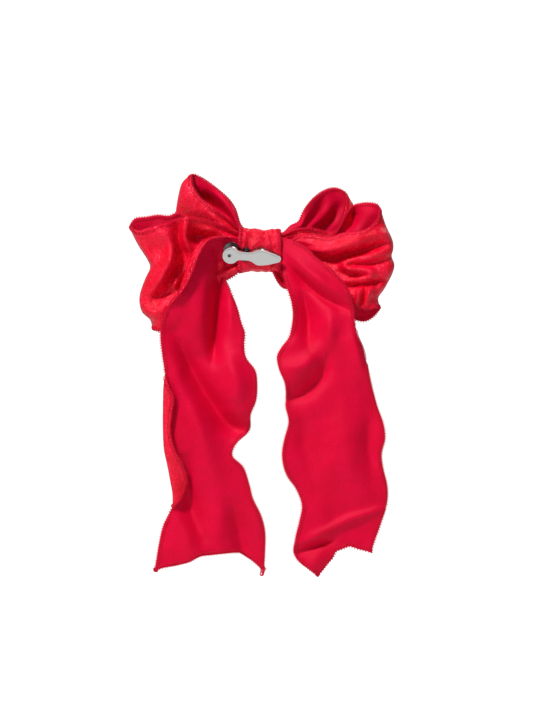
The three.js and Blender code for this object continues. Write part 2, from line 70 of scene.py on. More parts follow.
# ---------------------------------------------------------------- stage
def add_camera():
    """Looks level at the clip's side of the bow, along +Y."""
    view_height = 500.5  # at the clip's depth, mm
    sensor_height = 36  # mm
    camera = bpy.data.objects.new("camera", bpy.data.cameras.new("camera"))
    bpy.context.scene.collection.objects.link(camera)
    camera.data.sensor_fit = "VERTICAL"
    camera.data.sensor_height = sensor_height
    camera.data.lens = sensor_height * CAMERA_DISTANCE / view_height
    camera.location = (CAMERA_X * MM, -CAMERA_DISTANCE * MM, CAMERA_Z * MM)
    camera.rotation_euler = (math.radians(90), 0, 0)
    bpy.context.scene.camera = camera


def add_light(name, place, target, size, power):
    lamp = bpy.data.lights.new(name, "AREA")
    lamp.shape = "DISK"
    lamp.size = size
    lamp.energy = power
    light = bpy.data.objects.new(name, lamp)
    light.location = place
    light.rotation_euler = (Vector(target) - Vector(place)).to_track_quat("-Z", "Y").to_euler()
    bpy.context.scene.collection.objects.link(light)


def seen_strength(tree, socket, lighting, seen):
    """Gives a light strength one value for what it lights and another for what the camera sees of it."""
    path = tree.nodes.new("ShaderNodeLightPath")
    strength = tree.nodes.new("ShaderNodeMapRange")
    strength.inputs["To Min"].default_value = lighting
    strength.inputs["To Max"].default_value = seen
    tree.links.new(path.outputs["Is Camera Ray"], strength.inputs["Value"])
    tree.links.new(strength.outputs["Result"], socket)


def add_backdrop():
    """A pale floor, in metres, that sweeps up into a wall behind the bow. Only the camera sees it glow."""
    half_width, front_y, top_z = 5, -5.0, 4.5
    floor_z, wall_y, bend = -0.36, 3.6, 1.0
    steps = 12
    profile = [(front_y, floor_z), (wall_y - bend, floor_z)]
    for k in range(1, steps + 1):
        a = math.pi / 2 * k / steps
        profile.append((wall_y - bend + bend * math.sin(a), floor_z + bend - bend * math.cos(a)))
    profile.append((wall_y, top_z))
    verts = [(x, y, z) for y, z in profile for x in (-half_width, half_width)]
    faces = [(2 * k, 2 * k + 1, 2 * k + 3, 2 * k + 2) for k in range(len(profile) - 1)]
    mesh = bpy.data.meshes.new("backdrop")
    mesh.from_pydata(verts, [], faces)
    mesh.shade_smooth()
    backdrop = bpy.data.objects.new("backdrop", mesh)
    bpy.context.scene.collection.objects.link(backdrop)
    paper = bpy.data.materials.new("paper")
    paper.use_nodes = True
    shader = paper.node_tree.nodes["Principled BSDF"]
    shader.inputs["Base Color"].default_value = (0.9, 0.9, 0.9, 1)
    shader.inputs["Roughness"].default_value = 0.9
    shader.inputs["Emission Color"].default_value = (1, 1, 1, 1)
    seen_strength(paper.node_tree, shader.inputs["Emission Strength"], 0, 0.8)
    backdrop.data.materials.append(paper)


def add_studio():
    scene = bpy.context.scene
    scene.view_settings.view_transform = "Standard"
    world = bpy.data.worlds.new("studio")
    world.use_nodes = True
    background = world.node_tree.nodes["Background"]
    background.inputs["Color"].default_value = (1, 1, 1, 1)
    seen_strength(world.node_tree, background.inputs["Strength"], 0.2, 0.95)
    scene.world = world
    middle = (0, 0, -0.07)  # of the bow and its tails
    add_light("key", (-0.8, -1.1, 1.5), middle, 0.4, 41)
    add_light("front", (0.3, -2.2, 0.1), middle, 1.7, 3.5)
    add_light("back", (0.6, 1.2, 1.2), middle, 0.8, 8)


add_camera()
add_studio()
add_backdrop()


# ---------------------------------------------------------------- curves and grids
def smoothstep(x, low, high):
    t = np.clip((np.asarray(x, float) - low) / (high - low), 0, 1)
    return t * t * (3 - 2 * t)


def spline(points, count, even=True):
    """A smooth line through points (rows of numbers), as count rows, evenly spaced if even."""
    p = np.array(points, float)
    gap = np.linalg.norm(np.diff(p, axis=0), axis=1)
    knots = np.concatenate([[0], np.cumsum(np.sqrt(np.maximum(gap, 1e-6)))])
    slope = np.gradient(p, knots, axis=0)
    steps = 40  # for each point given
    u = np.linspace(0, knots[-1], steps * len(p))
    i = np.clip(np.searchsorted(knots, u, side="right") - 1, 0, len(p) - 2)
    h = (knots[i + 1] - knots[i])[:, None]
    f = (u[:, None] - knots[i][:, None]) / h
    line = (
        (2 * f**3 - 3 * f**2 + 1) * p[i]
        + (f**3 - 2 * f**2 + f) * h * slope[i]
        + (3 * f**2 - 2 * f**3) * p[i + 1]
        + (f**3 - f**2) * h * slope[i + 1]
    )
    return resample(line, count) if even else line[np.linspace(0, len(line) - 1, count).astype(int)]


def running_length(line):
    """How far along the line each of its points is, from 0."""
    return np.concatenate([[0], np.cumsum(np.linalg.norm(np.diff(line, axis=0), axis=1))])


def resample(line, count):
    """The same line as count evenly spaced points."""
    run = running_length(line)
    at = np.linspace(0, run[-1], count)
    return np.stack([np.interp(at, run, line[:, k]) for k in range(line.shape[1])], axis=1)


def along_curve(points, share, fine=300, even=True):
    """Points on the smooth line through points, at each share (0 to 1) of the way along it."""
    line = spline(points, fine, even)
    ways = np.linspace(0, 1, fine)
    return np.stack([np.interp(share, ways, line[:, k]) for k in range(line.shape[1])], axis=-1)


def distance_to(path, xz):
    """Distance of points xz, shape (..., 2), from the open line path, and how far along it (0 to 1)."""
    path = spline(path, 24) if len(path) > 2 else np.array(path, float)
    best = np.full(xz.shape[:-1], np.inf)
    along = np.zeros(xz.shape[:-1])
    for k in range(len(path) - 1):
        a, d = path[k], path[k + 1] - path[k]
        t = np.clip(((xz - a) @ d) / (d @ d), 0, 1)
        away = np.linalg.norm(xz - a - t[..., None] * d, axis=-1)
        along = np.where(away < best, (k + t) / (len(path) - 1), along)
        best = np.minimum(best, away)
    return best, along


def fold_depth(folds, xz, gain):
    """Sum of soft folds at points xz. Each is (path, depth, width), in mm; depth > 0 is towards +Y."""
    total = np.zeros(xz.shape[:-1])
    for path, depth, width in folds:
        away, along = distance_to(path, xz)
        ends = 0.25 + 0.75 * np.sin(np.pi * np.clip(along, 0.02, 0.98)) ** 0.6
        total += gain * depth * ends * np.exp(-np.abs(away / width) ** 1.5)
    return total


def crumple(grid, size, height, seed):
    """Small soft wrinkles: a height for each point of the grid, from noise of the given size in mm."""
    flat = grid.reshape(-1, 3)
    at = [Vector((p[0] / size + seed, p[1] / size, p[2] / size)) for p in flat]
    return height * np.array([noise.noise(p) for p in at]).reshape(grid.shape[:2])


def relax(grid, rounds, ring=False):
    """Evens out a grid of points, holding its borders."""
    for _ in range(rounds):
        near = grid.copy()
        if ring:
            rows = 0.5 * (np.roll(grid, 1, 0) + np.roll(grid, -1, 0))
            near[:, 1:-1] = 0.5 * rows[:, 1:-1] + 0.25 * (grid[:, 2:] + grid[:, :-2])
        else:
            near[1:-1, 1:-1] = 0.25 * (
                grid[2:, 1:-1] + grid[:-2, 1:-1] + grid[1:-1, 2:] + grid[1:-1, :-2]
            )
        grid = 0.4 * grid + 0.6 * near
    return grid


def grid_normals(grid, ring=False):
    along = np.roll(grid, -1, 0) - np.roll(grid, 1, 0) if ring else np.gradient(grid, axis=0)
    normal = np.cross(along, np.gradient(grid, axis=1))
    return normal / np.maximum(np.linalg.norm(normal, axis=2, keepdims=True), 1e-9)


def as_seen(grid):
    """Outlines are drawn in the clip's plane: spreads what is behind it, so that it still fits them."""
    grid = grid.copy()
    spread = 1 + grid[..., 1] / CAMERA_DISTANCE
    grid[..., 0] = CAMERA_X + (grid[..., 0] - CAMERA_X) * spread
    grid[..., 2] = CAMERA_Z + (grid[..., 2] - CAMERA_Z) * spread
    return grid


def cloth_mesh(name, grid, ring=False):
    """A sheet of velvet through the grid: rows along it, columns across it, pile along its normal."""
    rows, columns = grid.shape[:2]
    steps = rows if ring else rows - 1
    corners = ((0, 0), (1, 0), (1, 1), (0, 1))
    faces = [
        tuple((i + di) % rows * columns + j + dj for di, dj in corners)
        for i in range(steps)
        for j in range(columns - 1)
    ]
    mesh = bpy.data.meshes.new(name)
    mesh.from_pydata((grid.reshape(-1, 3) * MM).tolist(), [], faces)
    pitch = running_length(grid[:, columns // 2])[-1] / (rows - 1)
    layer = mesh.uv_layers.new(name="cloth")
    uv = [
        (MM * pitch * (i + di), MM * RIBBON * (j + dj) / (columns - 1))
        for i in range(steps)
        for j in range(columns - 1)
        for di, dj in corners
    ]
    layer.data.foreach_set("uv", np.array(uv, np.float32).ravel())
    mesh.materials.append(VELVET)
    mesh.materials.append(REVERSE)
    mesh.shade_smooth()
    piece = bpy.data.objects.new(name, mesh)
    bpy.context.scene.collection.objects.link(piece)
    solid = piece.modifiers.new("thickness", "SOLIDIFY")
    solid.thickness = CLOTH * MM
    solid.offset = 0
    solid.material_offset = 1
    solid.material_offset_rim = 1
    bpy.context.view_layer.update()
    made = piece.evaluated_get(bpy.context.evaluated_depsgraph_get())
    thick = bpy.data.meshes.new_from_object(made)
    piece.modifiers.clear()
    piece.data = thick
    return piece


# ---------------------------------------------------------------- materials
def new_material(name, **sockets):
    """A material and its shader; sockets are the shader's own, with _ for a space."""
    material = bpy.data.materials.new(name)
    material.use_nodes = True
    shader = material.node_tree.nodes["Principled BSDF"]
    for socket, value in sockets.items():
        shader.inputs[socket.replace("_", " ")].default_value = value
    return material, shader


def coordinates(material, source, stretch=(1, 1, 1)):
    """The surface's place for a texture, in metres; source is "UV" or "Object"."""
    tree = material.node_tree
    place = tree.nodes.new("ShaderNodeTexCoord")
    mapping = tree.nodes.new("ShaderNodeMapping")
    mapping.inputs["Scale"].default_value = stretch
    tree.links.new(place.outputs[source], mapping.inputs["Vector"])
    return mapping.outputs["Vector"]


def noise_texture(material, vector, size, detail=2.0, roughness=0.5, distortion=0.0):
    """A noise whose blobs are about size metres across."""
    texture = material.node_tree.nodes.new("ShaderNodeTexNoise")
    texture.inputs["Scale"].default_value = 1 / size
    texture.inputs["Detail"].default_value = detail
    texture.inputs["Roughness"].default_value = roughness
    texture.inputs["Distortion"].default_value = distortion
    material.node_tree.links.new(vector, texture.inputs["Vector"])
    return texture.outputs["Fac"]


def grey(level):
    return (level, level, level)


def ramp(material, value, *stops):
    """Turns a value into a colour; stops are (place, colour)."""
    node = material.node_tree.nodes.new("ShaderNodeValToRGB")
    elements = node.color_ramp.elements
    while len(elements) < len(stops):
        elements.new(0.5)
    for element, (place, colour) in zip(elements, stops):
        element.position = place
        element.color = (*colour, 1)
    material.node_tree.links.new(value, node.inputs["Fac"])
    return node.outputs["Color"]


def multiply(material, a, b):
    """One colour darkened by another."""
    node = material.node_tree.nodes.new("ShaderNodeMix")
    node.data_type = "RGBA"
    node.blend_type = "MULTIPLY"
    node.inputs["Factor"].default_value = 1.0
    material.node_tree.links.new(a, node.inputs["A"])
    material.node_tree.links.new(b, node.inputs["B"])
    return node.outputs["Result"]


def bump(material, height, strength, distance, under=None):
    """A normal from a height, with distance in metres, laid over the normal under it."""
    node = material.node_tree.nodes.new("ShaderNodeBump")
    node.inputs["Strength"].default_value = strength
    node.inputs["Distance"].default_value = distance
    material.node_tree.links.new(height, node.inputs["Height"])
    if under is not None:
        material.node_tree.links.new(under, node.inputs["Normal"])
    return node.outputs["Normal"]


def velvet_material():
    """Panne velvet: a glossy pile, crushed in soft patches, that shines pink where it catches light."""
    material, shader = new_material(
        "velvet",
        Sheen_Weight=0.04,
        Sheen_Roughness=0.35,
        Sheen_Tint=(1.0, 0.03, 0.06, 1),
        Specular_IOR_Level=0.9,
        Specular_Tint=(1.0, 0.22, 0.28, 1),
    )
    links = material.node_tree.links
    place = coordinates(material, "Object")
    drawn_out = coordinates(material, "Object", (0.7, 1, 1))
    patches = noise_texture(material, place, 0.013, distortion=0.4)
    crush = noise_texture(material, place, 0.0034, roughness=0.55, distortion=0.8)
    pile = noise_texture(material, drawn_out, 0.0012, detail=2.5, roughness=0.75)
    shade = ramp(material, patches, (0.3, (0.82, 0.0012, 0.022)), (0.7, (0.98, 0.003, 0.046)))
    speckle = ramp(material, pile, (0.34, (0.84, 0.55, 0.6)), (0.6, grey(1)))
    links.new(multiply(material, shade, speckle), shader.inputs["Base Color"])
    gloss = ramp(material, crush, (0.35, grey(0.18)), (0.68, grey(0.34)))
    links.new(gloss, shader.inputs["Roughness"])
    soft = bump(material, patches, strength=0.45, distance=0.0025)
    crushed = bump(material, crush, strength=0.28, distance=0.0009, under=soft)
    piled = bump(material, pile, strength=1.0, distance=0.0008, under=crushed)
    links.new(piled, shader.inputs["Normal"])
    return material


def reverse_material():
    """The velvet's woven back: a matte satin with a fine twill and a faint sheen."""
    material, shader = new_material(
        "velvet_reverse",
        Roughness=0.5,
        Sheen_Weight=0.05,
        Sheen_Roughness=0.5,
        Sheen_Tint=(1.0, 0.05, 0.1, 1),
        Specular_IOR_Level=0.25,
        Specular_Tint=(1.0, 0.3, 0.4, 1),
    )
    links = material.node_tree.links
    place = coordinates(material, "UV")
    twill = material.node_tree.nodes.new("ShaderNodeTexWave")
    twill.bands_direction = "DIAGONAL"
    twill.inputs["Scale"].default_value = 900
    twill.inputs["Distortion"].default_value = 1.5
    links.new(place, twill.inputs["Vector"])
    mottle = noise_texture(material, place, 0.02, detail=4.0, roughness=0.6)
    grain = noise_texture(material, place, 0.0013, detail=2.5, roughness=0.7)
    shade = ramp(material, mottle, (0.3, (0.7, 0.0004, 0.03)), (0.72, (0.78, 0.0008, 0.042)))
    speckle = ramp(material, grain, (0.32, grey(0.84)), (0.66, grey(1)))
    links.new(multiply(material, shade, speckle), shader.inputs["Base Color"])
    wrinkled = bump(material, mottle, strength=0.35, distance=0.002)
    grained = bump(material, grain, strength=0.3, distance=0.0002, under=wrinkled)
    woven = bump(material, twill.outputs["Fac"], strength=0.25, distance=0.0002, under=grained)
    links.new(woven, shader.inputs["Normal"])
    return material


def thread_material():
    """Red sewing thread, a little paler on its strands."""
    material, shader = new_material(
        "red_thread",
        Roughness=0.55,
        Specular_IOR_Level=0.2,
        Specular_Tint=(1, 0.3, 0.4, 1),
    )
    links = material.node_tree.links
    strands = noise_texture(material, coordinates(material, "Object"), 0.0006)
    colour = ramp(material, strands, (0.3, (0.54, 0.002, 0.022)), (0.7, (0.78, 0.012, 0.055)))
    links.new(colour, shader.inputs["Base Color"])
    links.new(bump(material, strands, strength=0.5, distance=0.0003), shader.inputs["Normal"])
    return material


def steel_material(name, colour, roughness, grain=0.0008):
    """Plated steel with fine drawing marks along the clip and faint handling wear."""
    material, shader = new_material(name, Base_Color=(*colour, 1), Metallic=1.0)
    links = material.node_tree.links
    drawn_out = coordinates(material, "Object", (0.15, 1, 1))
    marks = noise_texture(material, drawn_out, grain, detail=3.0, roughness=0.6)
    wear = noise_texture(material, coordinates(material, "Object"), 0.004, detail=3.0)
    gloss = ramp(material, wear, (0.35, grey(roughness * 0.75)), (0.7, grey(roughness * 1.4)))
    links.new(gloss, shader.inputs["Roughness"])
    links.new(bump(material, marks, strength=0.12, distance=0.0002), shader.inputs["Normal"])
    return material


VELVET = velvet_material()
REVERSE = reverse_material()
THREAD = thread_material()
STEEL = steel_material("plated_steel", (0.55, 0.56, 0.55), 0.17)
# Painted shade: the base arm is the same plated steel as the top arm, coloured darker where it lies under
# it.
SHADED_STEEL = steel_material("plated_steel_painted_shade", (0.13, 0.13, 0.135), 0.24)
# Painted shade: the pin is coloured near black so that the hole in the clip's head reads as dark as its
# shadow.
HOLE_SHADE_STEEL = steel_material("pin_steel_painted_shade", (0.06, 0.06, 0.065), 0.35)
SPRING_STEEL = steel_material("spring_steel", (0.35, 0.36, 0.38), 0.28, grain=0.0004)


# ---------------------------------------------------------------- overlocked edges
THREAD_RADIUS = 0.25  # mm
LOOPED_RADIUS = THREAD_RADIUS * 1.4  # where the threads of a stitch lie doubled
LOOSE_RADIUS = THREAD_RADIUS * 2.4  # where the ends of several threads hang together
STITCH_PITCH = 1.85  # mm from one stitch to the next
STITCH_REACH = 2.3  # mm from the edge to the inner line of stitching
STITCH_LIFT = 0.68  # mm from the middle of the cloth to that line


def tubes(paths, radius, sides=5):
    """Vertices and faces of a round tube along each path; paths is (count, points, 3)."""
    along = np.gradient(paths, axis=1)
    along /= np.maximum(np.linalg.norm(along, axis=2, keepdims=True), 1e-9)
    spare = np.where(np.abs(along[..., 2:3]) > 0.9, (1.0, 0.0, 0.0), (0.0, 0.0, 1.0))
    side = np.cross(along, spare)
    side /= np.maximum(np.linalg.norm(side, axis=2, keepdims=True), 1e-9)
    other = np.cross(along, side)
    turn = 2 * np.pi * np.arange(sides) / sides
    ring = np.cos(turn)[:, None] * side[:, :, None] + np.sin(turn)[:, None] * other[:, :, None]
    verts = (paths[:, :, None] + radius * ring).reshape(-1, 3)
    count, points = paths.shape[:2]
    first = np.arange(count)[:, None, None] * points * sides
    at = first + np.arange(points - 1)[None, :, None] * sides + np.arange(sides)[None, None, :]
    turned = at - np.arange(sides) + (np.arange(sides) + 1) % sides
    quads = np.stack([at, turned, turned + sides, at + sides], axis=-1).reshape(-1, 4)
    caps = []
    for c in range(count):
        start = c * points * sides
        end = start + (points - 1) * sides
        caps.append(tuple(range(start + sides - 1, start - 1, -1)))
        caps.append(tuple(range(end, end + sides)))
    return verts, [tuple(q) for q in quads.tolist()] + caps


def tube_piece(name, groups, material=THREAD):
    """One mesh of threads or wires; groups are (paths, radius)."""
    verts, faces = [], []
    for paths, radius in groups:
        more_verts, more_faces = tubes(paths, radius)
        base = sum(len(part) for part in verts)
        verts.append(more_verts)
        faces += [tuple(base + k for k in face) for face in more_faces]
    mesh = bpy.data.meshes.new(name)
    mesh.from_pydata((np.concatenate(verts) * MM).tolist(), [], faces)
    mesh.shade_smooth()
    mesh.materials.append(material)
    piece = bpy.data.objects.new(name, mesh)
    bpy.context.scene.collection.objects.link(piece)
    return piece


def edge_frames(edge, inside, normals, ring):
    """Evenly spaced points, outward directions, normals and headings along an edge of cloth."""
    stack = np.concatenate([edge, edge - inside, normals], axis=1)
    if ring:
        stack = np.concatenate([stack, stack[:1]])
    run = running_length(stack[:, :3])
    count = int(run[-1] / STITCH_PITCH)
    at = np.linspace(0, run[-1], count + 1)[:-1] if ring else np.linspace(0, run[-1], count)
    rows = np.stack([np.interp(at, run, column) for column in stack.T], axis=1)
    point, out, normal = rows[:, :3], rows[:, 3:6], rows[:, 6:]
    along = np.gradient(point, axis=0)
    along /= np.linalg.norm(along, axis=1, keepdims=True)
    out = out - along * np.sum(out * along, axis=1, keepdims=True)
    out /= np.maximum(np.linalg.norm(out, axis=1, keepdims=True), 1e-9)
    normal /= np.maximum(np.linalg.norm(normal, axis=1, keepdims=True), 1e-9)
    return point, out, normal, along


# One overlock stitch: (out, normal, along) in mm, from the face, round the edge, to the back.
STITCH_PATH = [
    (-STITCH_REACH, 0.62, -0.45),
    (-1.2, 0.74, -0.2),
    (0.15, 0.66, -0.05),
    (0.8, 0.0, 0.1),
    (0.15, -0.66, 0.2),
    (-1.2, -0.74, 0.35),
    (-STITCH_REACH, -0.62, 0.5),
]


def overlock(name, edges, ends=()):
    """Overlock stitches along edges; each is (edge points, points just inside, normals, ring).

    The ends are lines of loose thread.
    """
    groups = [(end[None], LOOSE_RADIUS) for end in ends]
    for edge, inside, normals, ring in edges:
        point, out, normal, along = edge_frames(edge, inside, normals, ring)
        path = np.stack([point + o * out + n * normal + a * along for o, n, a in STITCH_PATH], axis=1)
        groups.append((path, LOOPED_RADIUS))
        for side in (1, -1):
            line = point - STITCH_REACH * out + side * STITCH_LIFT * normal
            if ring:
                line = np.concatenate([line, line[:1]])
            groups.append((line[None], THREAD_RADIUS))
    return tube_piece(name, groups)


def grid_edges(grid, sides, ring=False, skip=0):
    """The named sides of a grid, for overlock(): "first" and "last" columns, and the "hem" row."""
    normals = grid_normals(grid, ring)
    found = {
        "first": (grid[skip:, 0], grid[skip:, 1], normals[skip:, 0], ring),
        "last": (grid[skip:, -1], grid[skip:, -2], normals[skip:, -1], ring),
        "hem": (grid[-1], grid[-2], normals[-1], False),
    }
    return [found[s] for s in sides]


# ---------------------------------------------------------------- tails
TAIL_ROWS = 220
TAIL_COLUMNS = 62
FLAT_POINTS = 40  # across the flat of a tail, before its columns are spaced evenly
BORDER_POINTS = 16  # and across its turned-over border
NO_BORDER = 0.6  # a border narrower than this isn't turned over, mm

# Each row is (stitched edge x, z, outer fold x, z, inner edge x, z), from inside the knot to the hem.
LEFT_TAIL = {
    "rows": [
        (-12, 12.5, -12, 12.5, -12, -2),
        (-21, 13.4, -21, 13.6, -21, -4),
        (-30, 13.6, -31.5, 14, -27, -6),
        (-38.3, 12.4, -42.5, 12.6, -31, -8),
        (-43, 8.2, -49, 7, -30.3, -12),
        (-47.8, -0.5, -54, -4, -28.5, -16.5),
        (-52.4, -13, -58.4, -16.2, -25.2, -23),
        (-57.6, -22.8, -61.8, -25.8, -22, -31),
        (-64.4, -30.8, -66.4, -32.4, -19.6, -37.5),
        (-69.3, -37.2, -69.8, -37.2, -17.3, -46),
        (-72.8, -46, -73.2, -46, -14.8, -53),
        (-73.6, -58, -73.8, -58, -15.3, -62),
        (-72, -70.5, -72.2, -70.5, -13.8, -71),
        (-70.7, -79.5, -71, -79.5, -7.6, -79.5),
        (-68.3, -89.8, -72.1, -90.5, -6.3, -89.5),
        (-64.6, -97.5, -72.3, -102, -7.1, -100.5),
        (-65.8, -110, -72.3, -115, -11, -110.5),
        (-66.8, -122, -72.1, -127, -12, -121.5),
        (-63.5, -135.5, -71.2, -137, -20.5, -130),
        (-57.5, -146, -69, -147, -23.6, -139),
        (-55, -157, -67, -158, -16, -147),
        (-58.5, -168.5, -65.5, -168, -11.5, -160),
        (-66.5, -177.5, -66.8, -177.5, -9, -169.5),
        (-71.5, -188, -71.7, -188, -3.5, -181),
        (-74.5, -200, -74.7, -200, -0.7, -193),
        (-76.2, -210, -76.4, -210, -0.7, -206),
        (-77.7, -219.8, -77.9, -219.8, -1.5, -219.8),
    ],
    # How deep the cloth lies: (share of the length, y at the outer side, y at the inner side).
    "depth": [
        (0.0, 9.5, 9.5),
        (0.035, 8, 9.4),
        (0.07, 0.5, 8.5),
        (0.11, -6, 5),
        (0.16, -10, 0),
        (0.24, -10.5, -5),
        (0.32, -9.5, -7.5),
        (0.45, -9, -8.5),
        (0.7, -10, -8),
        (0.85, -7, -9),
        (1.0, -10, -6),
    ],
    "curl": 4.2,  # how far the turned-over border stands towards the clip's side
    "folds": [
        ([(-32, 5), (-32.4, -14), (-35.2, -40), (-36.6, -72)], 7.5, 3.6),
        ([(-33, -5), (-36, -45), (-38, -76)], 4.5, 11),
        ([(-38, 6), (-43, -14), (-45, -38), (-46, -62)], -3.5, 8),
        ([(-26, -14), (-25, -34), (-25, -54)], -2.5, 4.5),
        ([(-63, -54), (-50, -84), (-38, -102), (-26, -118), (-12, -122)], 9.5, 7),
        ([(-66, -66), (-56, -96), (-46, -121), (-38, -150)], -5, 8),
        ([(-27, -66), (-21, -86), (-20, -104)], -5, 9),
        ([(-55, -143), (-54, -165), (-52, -180), (-45, -197)], 4.5, 5.5),
        ([(-66, -178), (-56, -194), (-50, -214)], -5, 9),
        ([(-36, -150), (-32, -180), (-34, -212)], -2, 9),
        ([(-15, -222), (-18, -196), (-24, -172)], 4, 6),
    ],
    # The hem's scallop: (share of the width from the outer side, mm above the straight hem).
    "hem": [(0, 0), (0.07, 2.1), (0.18, 3.6), (0.32, 6.3), (0.42, 10.4), (0.69, 12.6), (0.77, 13.2),
            (0.83, 10.6), (0.9, 7), (1, 0)],
    "loose_thread": [(-1.8, -6, -217.5), (-1.6, -7, -220.5), (-2.6, -7.8, -222.3), (-4, -7.8, -221.6),
                     (-3.8, -7.4, -220), (-2.4, -6.8, -220.2), (-2.6, -6.4, -221.8)],
    "seed": 3.7,
    "length": 0.263,  # of its ribbon laid flat, metres
}
RIGHT_TAIL = {
    "rows": [
        (4, 13.5, 4, 13.5, 4, -2),
        (11, 13.6, 11, 13.6, 11, -4),
        (19, 11.4, 19, 11.6, 12.2, -12),
        (27.3, 7.2, 27.5, 7.4, 14.2, -20),
        (35, -0.5, 35.2, -0.3, 16.6, -27),
        (43, -7, 43.2, -6.8, 18.4, -34),
        (50.5, -13.8, 50.7, -13.6, 19, -41.5),
        (57, -22.8, 57.2, -22.7, 18, -49),
        (60.7, -33, 60.9, -33, 15.8, -56.8),
        (61.7, -44, 61.9, -44, 10.6, -63.8),
        (62.8, -54, 64, -53.5, 7.8, -70),
        (67.2, -64.5, 68.4, -64, 9.3, -78.5),
        (71.2, -79, 71.6, -79, 13.2, -88),
        (74.2, -92, 74.4, -92, 14.3, -96),
        (77.8, -105, 78, -105, 13.8, -105),
        (82, -116.5, 82.2, -116.5, 16, -115.5),
        (83.2, -127, 83.4, -127, 13, -127),
        (80.6, -138, 80.8, -138, 11.3, -139.5),
        (82, -149, 82.2, -149, 14.2, -152),
        (84.6, -160, 84.8, -160, 21.5, -163),
        (84.6, -171, 84.8, -171, 25.2, -174.5),
        (82, -181, 82.2, -181, 23.2, -186),
        (78.6, -191, 78.8, -191, 20.5, -197.5),
        (75.5, -200, 75.7, -200, 20.5, -210),
        (73.6, -206.6, 73.8, -206.6, 36.2, -223.2),
    ],
    "depth": [
        (0.0, 9.5, 9.5),
        (0.03, 9.3, 8),
        (0.07, 5.5, 4),
        (0.12, -1, 0),
        (0.17, -6.5, -4.5),
        (0.24, -9, -6),
        (0.33, -9, -8.5),
        (0.5, -8, -10),
        (0.7, -9.5, -7.5),
        (0.86, -6.5, -9),
        (1.0, -9, -6),
    ],
    "curl": 2.0,
    "folds": [
        ([(12, 5), (26, -7), (40, -18), (52, -24.5), (61, -28)], -3.8, 4.6),
        ([(12, -2.5), (29, -19.5), (44, -31), (58, -37)], 5.5, 2.8),
        ([(25, -22), (29, -40), (30, -62)], 7, 6.5),
        ([(44, -38), (46, -58), (44, -80)], -4, 6),
        ([(7, -101), (23.8, -97), (40, -81), (48.3, -56)], 5.5, 5.5),
        ([(15, -78), (26, -76), (34, -68)], -4, 6),
        ([(60, -50), (63, -62), (68, -80)], -3.5, 3.5),
        ([(64.5, -48), (68, -62), (73, -78)], 3, 3),
        ([(52, -95), (56, -125), (60, -160)], -2.5, 13),
        ([(24, -112), (28, -140), (36, -168)], 1.6, 6),
        ([(72, -110), (72, -130), (74, -150)], 3, 6),
        ([(26, -200), (44.8, -190.5), (58.8, -183.5), (70, -180), (84, -175)], -3, 2.8),
        ([(20, -207), (32, -203), (46, -198.5)], 3.6, 2.6),
        ([(28, -219), (40, -209)], -2.5, 4),
    ],
    "hem": [(0, 0), (0.25, 6.3), (0.4, 10.9), (0.66, 11.6), (0.72, 8), (0.8, 5.9), (0.92, 2.1), (1, 0)],
    "seed": 11.3,
    "length": 0.24,
}


def tail_section(row, y_outer, y_inner, curl, rise):
    """A line of points across a tail: inner edge, flat of the cloth, round the fold, stitched edge."""
    edge_x, edge_z, fold_x, fold_z, inner_x, inner_z = row
    flat = np.linspace(0, 1, FLAT_POINTS)[:, None]
    start = np.array([inner_x, y_inner, inner_z])
    turn = np.array([fold_x, y_outer, fold_z])
    end = np.array([edge_x, y_outer, edge_z])
    body = start + (turn - start) * flat
    body[:, 2] += rise
    over = np.linalg.norm(end - turn)
    if over < NO_BORDER:
        return resample(body, TAIL_COLUMNS)
    u = np.linspace(0, 1, BORDER_POINTS)[1:, None]
    border = turn + (end - turn) * u
    reach = np.clip(u[:, 0] * over / curl, 0, 1)
    border[:, 1] -= min(curl, over) * np.sqrt(1 - (1 - reach) ** 2)
    return resample(np.concatenate([body, border]), TAIL_COLUMNS)


def tail_grid(tail):
    rows = spline(tail["rows"], TAIL_ROWS)
    share = np.linspace(0, 1, TAIL_ROWS)
    depth = np.array(tail["depth"])
    where = np.interp(share, depth[:, 0], np.linspace(0, 1, len(depth)))
    y = along_curve(depth[:, 1:], where, fine=400, even=False)
    hem = np.array(tail["hem"], float)
    scallop = np.interp(1 - np.linspace(0, 1, FLAT_POINTS), hem[:, 0], hem[:, 1])
    lift = smoothstep(share, 0.9, 1.0)
    sections = [
        tail_section(row, y_outer, y_inner, tail["curl"], rise)
        for row, (y_outer, y_inner), rise in zip(rows, y, lift[:, None] * scallop)
    ]
    grid = np.array(sections)
    free = smoothstep(share, 0.03, 0.12)[:, None]  # 0 where the knot holds the cloth
    grid[..., 1] += free * fold_depth(tail["folds"], grid[..., [0, 2]], gain=1.4)
    grid[..., 1] += free * crumple(grid, size=26, height=2.4, seed=tail["seed"])
    grid[..., 1] += free * crumple(grid, size=9, height=0.5, seed=tail["seed"] + 5)
    return as_seen(relax(grid, rounds=5))


def add_tail(side, tail):
    # Columns run from the inner edge outwards; turned round on the right so the velvet faces +Y.
    grid = tail_grid(tail)
    if side == "right":
        grid = grid[:, ::-1]
    cloth = cloth_mesh(f"{side}_tail_ribbon", grid)
    ends = [spline(tail["loose_thread"], 24)] if "loose_thread" in tail else []
    in_knot = 14  # rows that are inside the knot, where no stitching shows
    edges = grid_edges(grid, ("first", "last", "hem"), skip=in_knot)
    stitching = overlock(f"{side}_tail_stitching", edges, ends)
    for piece in (cloth, stitching):
        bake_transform(piece)
    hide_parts(f"{side}_tail", "tail_strip_middle")
    overlocks = [f"{side}_tail_{edge}_overlock" for edge in ("outer", "inner", "hem")]
    overlocks += [f"tail_strip_middle_{edge}_overlock" for edge in ("top", "bottom")]
    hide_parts(*overlocks)


add_tail("left", LEFT_TAIL)
add_tail("right", RIGHT_TAIL)


# ---------------------------------------------------------------- loops
LOOP_ROWS = 112  # along one side of a loop, knot to fold
LOOP_COLUMNS = 66

